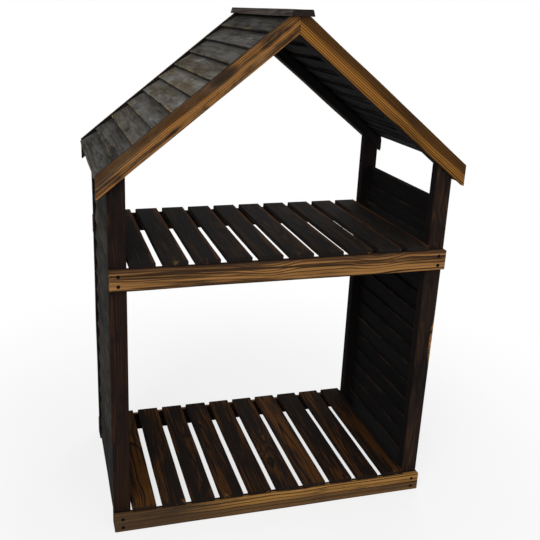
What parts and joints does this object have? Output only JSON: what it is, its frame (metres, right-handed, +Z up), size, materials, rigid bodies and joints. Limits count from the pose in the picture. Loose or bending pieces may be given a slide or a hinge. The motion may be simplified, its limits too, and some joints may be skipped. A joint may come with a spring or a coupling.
{
  "type": "log store",
  "caption": "Open gable-roofed timber log store with slatted floor and shelf, lapped side walls and a lapped board roof.",
  "frame": {"origin": "on the ground, at the middle of the store's width and depth", "axes": "+X to the right seen from the front, +Y from the open front to the back, +Z up along the height"},
  "size_m": [0.9654, 0.535, 1.3688],
  "materials": {
    "post_wood": "scorched and brushed softwood, dark brown",
    "rail_wood": "scorched and brushed softwood, honey brown",
    "slat_wood": "scorched softwood, near black",
    "wall_wood": "scorched softwood, charcoal",
    "roof_wood": "weathered scorched softwood, grey charcoal with worn edges",
    "gable_wood": "brushed softwood, orange brown with a darker upper edge",
    "cap_wood": "scorched softwood, dark grey brown"
  },
  "bodies": {
    "root": {"front_left_post": "post_wood", "front_right_post": "post_wood", "back_left_post": "post_wood", "back_right_post": "post_wood", "front_floor_rail": "rail_wood", "back_floor_rail": "rail_wood", "front_shelf_rail": "rail_wood", "back_shelf_rail": "rail_wood", "floor_slat_01": "slat_wood", "floor_slat_02": "slat_wood", "floor_slat_03": "slat_wood", "floor_slat_04": "slat_wood", "floor_slat_05": "slat_wood", "floor_slat_06": "slat_wood", "floor_slat_07": "slat_wood", "floor_slat_08": "slat_wood", "floor_slat_09": "slat_wood", "floor_slat_10": "slat_wood", "shelf_slat_01": "slat_wood", "shelf_slat_02": "slat_wood", "shelf_slat_03": "slat_wood", "shelf_slat_04": "slat_wood", "shelf_slat_05": "slat_wood", "shelf_slat_06": "slat_wood", "shelf_slat_07": "slat_wood", "shelf_slat_08": "slat_wood", "shelf_slat_09": "slat_wood", "shelf_slat_10": "slat_wood", "left_wall_boards": "wall_wood", "right_wall_boards": "wall_wood", "front_left_rafter": "post_wood", "front_right_rafter": "post_wood", "back_left_rafter": "post_wood", "back_right_rafter": "post_wood", "left_roof_boards": "roof_wood", "right_roof_boards": "roof_wood", "front_left_gable_board": "gable_wood", "front_right_gable_board": "gable_wood", "back_left_gable_board": "gable_wood", "back_right_gable_board": "gable_wood", "ridge_cap": "cap_wood"}
  },
  "joints": []
}
